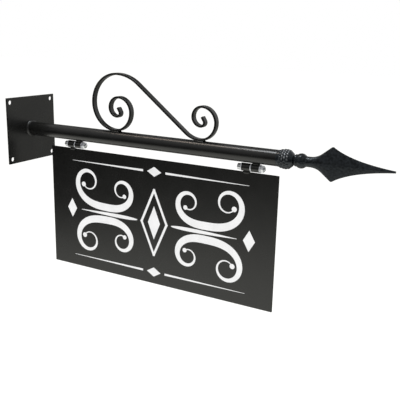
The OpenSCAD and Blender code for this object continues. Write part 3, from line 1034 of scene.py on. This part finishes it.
class SIGN_OT_hinges(bpy.types.Operator):
    """Makes the knuckles, bolts, nuts, washers and hinge welds of both hinges"""

    bl_idname = "sign.hinges"
    bl_label = "Hinges"

    def execute(self, context):
        for k, end in enumerate(ENDS):
            self.knuckles(end)
            self.fasteners(end, context.scene.sign_hinge)
            self.welds(end, HINGE_SHIFT * k)
        return {"FINISHED"}

    def knuckles(self, end):
        """Short tubes with eased ends."""
        for node, body in ((end + "_arm_knuckle", BRACKET), (end + "_panel_knuckle", SIGN)):
            low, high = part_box(node)
            ring = soft_ring(low.x, high.x, KNUCKLE_BORE, KNUCKLE_R, KNUCKLE_EDGE)
            skin = patch(revolved(ring, RING_SIDES, PIN_Z), wrap_rows=True)
            name = node.replace("knuckle", "barrel")
            piece(name, [skin], finish_of("black_coat"), body, "black_paint", node)

    def fasteners(self, end, h):
        """Socket bolts, nuts and round-edged washers."""
        zinc = finish_of("bright_zinc")
        low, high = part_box(end + "_hinge_bolt")
        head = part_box(end + "_head_washer")[0].x
        nut_low, nut_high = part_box(end + "_hinge_nut")
        bolt = bolt_body(low.x, head, nut_low.x - THREAD_LEAD, high.x, high.y, h)
        piece(end + "_bolt", [bolt], zinc, BRACKET, "zinc", end + "_hinge_bolt")
        nut = nut_body(nut_low.x, nut_high.x, 2 * nut_high.y, h.shank / 2)
        piece(end + "_nut", [nut], zinc, BRACKET, "zinc", end + "_hinge_nut")
        for place in ("head", "spacer", "nut"):
            node = f"{end}_{place}_washer"
            w_low, w_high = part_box(node)
            ring = soft_ring(w_low.x, w_high.x, WASHER_BORE, w_high.y, WASHER_EDGE)
            skin = patch(revolved(ring, RING_SIDES, PIN_Z), wrap_rows=True)
            piece(f"{end}_{place}_disc", [skin], finish_of("dull_zinc"), BRACKET, "zinc", node)

    def welds(self, end, seed):
        """Rippled beads on both sides of the knuckles, at the arm and at the panel's edge."""
        coat = finish_of("black_coat")
        node = end + "_arm_knuckle_weld"
        low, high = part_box(node)
        z = (PIN_Z + KNUCKLE_R - TUBE_R) / 2
        beads = [
            weld_bead((low.x, y, z), (high.x, y, z), ARM_BEAD, ARM_BEAD_LIFT, seed + y)
            for y in (low.y, high.y)
        ]
        piece(end + "_arm_bead", beads, coat, BRACKET, "black_paint", node)
        node = end + "_panel_weld"
        low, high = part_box(node)
        z = PANEL_HIGH.z - PANEL_BEAD_SINK
        beads = [
            weld_bead((low.x, y, z), (high.x, y, z), PANEL_BEAD, PANEL_BEAD_LIFT, seed + PANEL_SHIFT + y)
            for y in (low.y * PANEL_BEAD_SIDE, high.y * PANEL_BEAD_SIDE)
        ]
        piece(end + "_panel_bead", beads, coat, SIGN, "black_paint", node)


# Panel: radius of its corners, round of its edges and points across an edge
PANEL_CORNER = 0.0012
PANEL_EDGE = 0.0006
PANEL_EDGE_ROWS = 9

# Film: depth of its back in the sheet, steps of height between strokes that cross, and how many there are
FILM_SINK = 0.00005
LAYER_STEP = 0.2
LAYERS = 4

# Width that the sizes below are drawn for, and points along a rule, a spot, a curl and a side of the frame
DESIGN_WIDTH = 0.508
RULE_POINTS = 60
SPOT_POINTS = 41
CURL_POINTS = 280
FRAME_POINTS = 30

# Curls: middle, half lengths, winds, tilt, powers of the roll and of the swell, least width, end dots
CURL_MIDDLE = (0.138, 0.016)
CURL_HALVES = (0.205, 0.250)
CURL_WINDS = (-7.0, 7.3)
CURL_TILT = 0.02
CURL_ROLL = 1.9
CURL_SWELL = 1.9
CURL_LEAST = 0.0024
CURL_DOTS = (0.0052, 0.0060)

# Rules and darts: start and end from the middle, height, least width and swell, and lean of the dart's swell
RULE_SPAN = (0.030, 0.235)
RULE_Z = 0.121
RULE_WIDTH = (0.0008, 0.0042)
DART_SPAN = (0.046, 0.211)
DART_WIDTH = (0.0010, 0.0075)
DART_LEAN = 0.6

# Lozenges: half widths and half heights, place of the side ones, and sharpness of lozenges and dots
SIDE_LOZENGE = (0.014, 0.024)
SIDE_PLACE = 0.240
RULE_LOZENGE = (0.019, 0.0115)
MIDDLE_LOZENGE = (0.0165, 0.040)
LOZENGE_POINT = 0.004
DOT_POINT = 0.0004

# Frame round the middle lozenge: half width and half height, width of its line, overlap at its corners
FRAME_HALF = (0.034, 0.078)
FRAME_WIDTH = 0.0056
FRAME_LAP = 0.03


def stroke(path, width, face, thick, side):
    """A flat stroke whose path lies in the panel's plane.

    At each point the edges stand half the width to both sides. The section is a thin rectangle on the
    panel's face.
    """
    step = np.gradient(path, axis=0)
    step /= np.linalg.norm(step, axis=1, keepdims=True)
    across = np.stack([-step[:, 1], step[:, 0]], axis=-1) * width[:, None] / 2
    left, right = path + across, path - across
    low, high = side * (face - FILM_SINK), side * (face + thick)
    corners = [(left, low), (left, high), (right, high), (right, low)]
    rows = [np.stack([p[:, 0], np.full(len(p), y), p[:, 1]], axis=-1) for p, y in corners]
    return patch(np.stack(rows, axis=1), caps=True)


def curl_path():
    """A rolled curl whose two ends roll in tighter and tighter.

    From its middle the heading turns by the wind times the distance to the power of the roll.
    """
    t = np.linspace(-1, 1, CURL_POINTS)
    heading = CURL_TILT + np.where(t < 0, *CURL_WINDS) * np.abs(t) ** CURL_ROLL
    reach = np.where(t < 0, *CURL_HALVES)[:, None] * 2 / CURL_POINTS
    path = np.cumsum(np.stack([np.cos(heading), np.sin(heading)], axis=-1) * reach, axis=0)
    return path - path[CURL_POINTS // 2] + np.array(CURL_MIDDLE)


class SIGN_OT_panel(bpy.types.Operator):
    """Makes the panel's sheet and lays a white design on both its faces"""

    bl_idname = "sign.panel"
    bl_label = "Panel"

    def execute(self, context):
        size = PANEL_HIGH - PANEL_LOW
        self.sheet(size)
        for name, side in (("front_design", -1), ("back_design", 1)):
            strokes = self.design(context.scene.sign_design, size.y / 2, side)
            piece(name, strokes, finish_of("white_film"), SIGN, None)
        return {"FINISHED"}

    def sheet(self, size):
        """The sheet's outline, repeated from face to face and drawn in along a quarter circle at both."""
        outline = rounded_section(size.x, size.z, PANEL_CORNER)
        flat, edge = size.y / 2, PANEL_EDGE
        a = np.linspace(-np.pi / 2, np.pi / 2, PANEL_EDGE_ROWS)
        y = np.where(a < 0, -flat + edge, flat - edge) + edge * np.sin(a)
        y = np.r_[-flat, y, flat]
        inset = np.r_[2 * edge, edge - edge * np.cos(a), 2 * edge]
        scale = 1 - inset[:, None, None] * 2 / np.array([size.x, size.z])
        ring = outline[None, :, :] * scale
        at = np.broadcast_to(y[:, None], ring.shape[:2])
        skin = np.stack([PANEL_MIDDLE.x + ring[..., 0], at, PANEL_MIDDLE.z + ring[..., 1]], axis=-1)
        piece("panel", [patch(skin, caps=True)], finish_of("panel_coat"), SIGN, "black_paint", "sign_panel")

    def design(self, d, face, side):
        """A framed lozenge between two pairs of rolled curls, with darts on the middle line.

        Rules that taper run above and below, with a lozenge between them.
        """
        middle = np.array([PANEL_MIDDLE.x, PANEL_MIDDLE.z])
        unit = d.width / DESIGN_WIDTH
        strokes = []

        def draw(path, width):
            layer = d.thick * (1 + LAYER_STEP * (len(strokes) % LAYERS))
            strokes.append(stroke(middle + path * unit, width * unit, face, layer, side))

        def level_line(x0, x1, z, count=RULE_POINTS):
            return np.stack([np.linspace(x0, x1, count), np.full(count, z)], axis=-1)

        def lozenge(x, z, wide, tall):
            t = np.linspace(-1, 1, SPOT_POINTS)
            path = level_line(x - wide, x + wide, z, SPOT_POINTS)
            draw(path, 2 * tall * np.maximum(1 - np.abs(t), LOZENGE_POINT))

        def dot(at, r):
            t = np.sin(np.linspace(-np.pi / 2, np.pi / 2, SPOT_POINTS))
            path = np.stack([at[0] + r * t, np.full(SPOT_POINTS, at[1])], axis=-1)
            draw(path, 2 * r * np.sqrt(np.maximum(1 - t * t, DOT_POINT)))

        t = np.linspace(0, 1, RULE_POINTS)
        s = np.linspace(-1, 1, CURL_POINTS)
        rule_width = RULE_WIDTH[0] + RULE_WIDTH[1] * (1 - t)
        dart_width = DART_WIDTH[0] + DART_WIDTH[1] * np.sin(np.pi * t**DART_LEAN)
        for flip in SIDES:
            for up in SIDES:
                path = curl_path() * np.array([flip, up])
                draw(path, CURL_LEAST + d.stroke * (1 - s * s) ** CURL_SWELL)
                dot(path[0], CURL_DOTS[0])
                dot(path[-1], CURL_DOTS[1])
                draw(level_line(flip * RULE_SPAN[0], flip * RULE_SPAN[1], up * RULE_Z), rule_width)
            draw(level_line(flip * DART_SPAN[0], flip * DART_SPAN[1], 0.0), dart_width)
            lozenge(flip * SIDE_PLACE, 0.0, *SIDE_LOZENGE)
        for up in SIDES:
            lozenge(0.0, up * RULE_Z, *RULE_LOZENGE)
        lozenge(0.0, 0.0, *MIDDLE_LOZENGE)
        wide, tall = FRAME_HALF
        corners = np.array([(wide, 0), (0, tall), (-wide, 0), (0, -tall), (wide, 0)])
        along = np.linspace(-FRAME_LAP, 1 + FRAME_LAP, FRAME_POINTS)[:, None]
        for start, end in zip(corners[:-1], corners[1:]):
            draw(start + along * (end - start), np.full(FRAME_POINTS, FRAME_WIDTH))
        return strokes


# Camera: width of the sensor in mm, and nearest and farthest distance seen
SENSOR = 36.0
CLIP = (0.05, 60.0)

# Floor: half its size, its finish, and how much it glows for the camera
FLOOR_HALF = 14.0
FLOOR_ROUGH = 0.9
FLOOR_GREY = (0.8, 0.8, 0.8, 1.0)
FLOOR_TINT = (1.0, 1.0, 0.93, 1.0)
FLOOR_SHOWN = 0.25

# Floor in reflections: a pool in front that bows round a line and fades with distance, and the part behind
POOL_X = 0.5
POOL_BOW = 0.52
POOL_REACH = (0.5, 2.4)
POOL_LEVELS = (1.2, 0.04)
POOL_END = (0.0, 0.5)
BEHIND_REACH = (0.2, 1.4)
BEHIND_LEVEL = 0.52

# Room in reflections, by direction: a roof that dims to the back
ROOF_LEVELS = (0.05, 0.65)
ROOF_BACK = (0.3, 0.75)
ROOF_DIM = 0.1

# A screen at the back, dimmer at the wall's side, with a slanting top
SCREEN_SIDE = (-0.3, 0.05)
SCREEN_DIM = 0.75
SCREEN_SLANT = 0.5
SCREEN_TOP = (0.5, 0.6)
SCREEN_OVER = 0.1
SCREEN_BACK = (0.1, 0.5)
SCREEN_LEVEL = 0.76

# Strip lights: name, power in rear strips, colour, place and size
STRIPS = (
    ("rear_strip", 1.0, (1.0, 0.84, 0.70), (-0.295, -0.14, 1.3), (0.63, 0.24)),
    ("tip_strip", 2.7, (0.92, 0.97, 1.0), (0.33, -0.14, 1.3), (0.56, 0.36)),
)

BLACK = (0.0, 0.0, 0.0, 1.0)
WHITE = (1.0, 1.0, 1.0, 1.0)


class SIGN_OT_stage(bpy.types.Operator):
    """Sets the floor, the room's light, the lamps and the camera"""

    bl_idname = "sign.stage"
    bl_label = "Stage"

    def execute(self, context):
        stage = context.scene.sign_stage
        self.camera(context, stage)
        self.floor(context, stage)
        self.room(context, stage)
        self.lamps(context, stage)
        context.scene.view_settings.view_transform = "Standard"
        return {"FINISHED"}

    def camera(self, context, stage):
        """Looks back along its azimuth and elevation, rolled about its own line of sight."""
        data = bpy.data.cameras.new("camera")
        data.sensor_width = SENSOR
        data.lens = stage.lens
        data.shift_x, data.shift_y = stage.shift
        data.clip_start, data.clip_end = CLIP
        made = bpy.data.objects.new("camera", data)
        context.scene.collection.objects.link(made)
        a, e, r = stage.azimuth, stage.elevation, stage.roll
        back = Vector((math.sin(a) * math.cos(e), -math.cos(a) * math.cos(e), math.sin(e)))
        right = Vector((math.cos(a), math.sin(a), 0.0))
        up = back.cross(right)
        turned = Matrix((right, up, back)).transposed() @ Matrix.Rotation(r, 3, "Z")
        made.matrix_world = Matrix.Translation(stage.place) @ turned.to_4x4()
        context.scene.camera = made

    def mirrored(self, tree):
        """The rays that reach a part of the stage, and whether they come from a reflection."""
        rays = add(tree, "ShaderNodeLightPath").outputs
        return rays, worked(tree, "MAXIMUM", rays["Is Glossy Ray"], rays["Is Transmission Ray"])

    def floor(self, context, stage):
        """A pale sheet that shows white to the camera, with the shadow left in.

        In reflections it is a bright pool in front of the sign and a paler sheet behind it.
        """
        mesh = bpy.data.meshes.new("floor")
        corners = [(-1, -1), (1, -1), (1, 1), (-1, 1)]
        points = [(FLOOR_HALF * x, FLOOR_HALF * y, stage.floor_z) for x, y in corners]
        mesh.from_pydata(points, [], [(0, 1, 2, 3)])
        made = bpy.data.objects.new("floor", mesh)
        context.scene.collection.objects.link(made)
        material, tree, shader = blank("pale_floor")
        rays, mirrored = self.mirrored(tree)
        place = add(tree, "ShaderNodeTexCoord").outputs["Object"]
        x, y, _ = add(tree, "ShaderNodeSeparateXYZ", {"Vector": place}).outputs
        aside = worked(tree, "SUBTRACT", x, POOL_X)
        bowed = times(tree, times(tree, aside, aside), POOL_BOW)
        ahead = worked(tree, "SUBTRACT", bowed, y)
        pool = spread(tree, ahead, *POOL_REACH, *POOL_LEVELS, kind="SMOOTHSTEP")
        front = times(tree, pool, spread(tree, y, *POOL_END, 1.0, 0.0))
        behind = spread(tree, y, *BEHIND_REACH, 0.0, BEHIND_LEVEL)
        glow = times(tree, mirrored, worked(tree, "MAXIMUM", front, behind))
        shown = times(tree, rays["Is Camera Ray"], FLOOR_SHOWN)
        sheet = blended(tree, mirrored, FLOOR_GREY, BLACK)
        feed(tree, shader, {"Base Color": sheet, "Roughness": FLOOR_ROUGH, "Specular IOR Level": 0.0})
        lit = worked(tree, "ADD", glow, shown)
        feed(tree, shader, {"Emission Color": FLOOR_TINT, "Emission Strength": lit})
        mesh.materials.append(material)

    def room(self, context, stage):
        """White to the camera, a graded white room in reflections, and an even fill for the rest."""
        world = bpy.data.worlds.new("room")
        world.use_nodes = True
        tree = world.node_tree
        tree.nodes.clear()
        output = tree.nodes.new("ShaderNodeOutputWorld")
        rays, mirrored = self.mirrored(tree)
        way = add(tree, "ShaderNodeTexCoord").outputs["Generated"]
        x, y, z = add(tree, "ShaderNodeSeparateXYZ", {"Vector": way}).outputs
        roof = spread(tree, z, 0.0, 1.0, *ROOF_LEVELS)
        roof = times(tree, roof, spread(tree, y, *ROOF_BACK, 1.0, ROOF_DIM))
        top = worked(tree, "SUBTRACT", z, times(tree, x, SCREEN_SLANT))
        screen = spread(tree, x, *SCREEN_SIDE, SCREEN_DIM, 1.0)
        screen = times(tree, screen, spread(tree, top, *SCREEN_TOP, 1.0, SCREEN_OVER))
        screen = times(tree, screen, spread(tree, y, *SCREEN_BACK, 0.0, SCREEN_LEVEL))
        seen = times(tree, mirrored, worked(tree, "MAXIMUM", roof, screen))
        fill = times(tree, worked(tree, "SUBTRACT", 1.0, mirrored), stage.fill)
        strength = worked(tree, "MAXIMUM", worked(tree, "ADD", seen, fill), rays["Is Camera Ray"])
        shader = add(tree, "ShaderNodeBackground", {"Color": WHITE, "Strength": strength})
        tree.links.new(shader.outputs[0], output.inputs["Surface"])
        context.scene.world = world

    def lamps(self, context, stage):
        """Two strips overhead along the arm: a warm one, and a brighter, cooler one over its tip."""
        for name, power, colour, place, size in STRIPS:
            data = bpy.data.lights.new(name, "AREA")
            data.energy = power * stage.strip
            data.color = colour
            data.shape = "RECTANGLE"
            data.size, data.size_y = size
            made = bpy.data.objects.new(name, data)
            context.scene.collection.objects.link(made)
            made.location = place


OPERATORS = (SIGN_OT_arm, SIGN_OT_scroll, SIGN_OT_finial, SIGN_OT_hinges, SIGN_OT_panel, SIGN_OT_stage)


class SIGN_PT_sidebar(bpy.types.Panel):
    """Lists the sign's sizes, finishes and steps"""

    bl_idname = "SIGN_PT_sidebar"
    bl_label = "Trade Sign"
    bl_space_type = "VIEW_3D"
    bl_region_type = "UI"
    bl_category = "Trade Sign"

    def draw(self, context):
        for name, group in GROUPS:
            box = self.layout.box()
            box.label(text=group.__doc__)
            for prop in group.__annotations__:
                box.prop(getattr(context.scene, name), prop)
        for operator in OPERATORS:
            self.layout.operator(operator.bl_idname)


def register():
    for name, group in GROUPS:
        bpy.utils.register_class(group)
        setattr(bpy.types.Scene, name, PointerProperty(type=group))
    for made in (*OPERATORS, SIGN_PT_sidebar):
        bpy.utils.register_class(made)


def unregister():
    for made in (SIGN_PT_sidebar, *reversed(OPERATORS)):
        bpy.utils.unregister_class(made)
    for name, group in reversed(GROUPS):
        delattr(bpy.types.Scene, name)
        bpy.utils.unregister_class(group)


def main():
    """Builds every piece in order."""
    register()
    bpy.ops.sign.arm()
    bpy.ops.sign.scroll()
    bpy.ops.sign.finial()
    bpy.ops.sign.hinges()
    bpy.ops.sign.panel()
    bpy.ops.sign.stage()


if __name__ == "__main__":
    main()
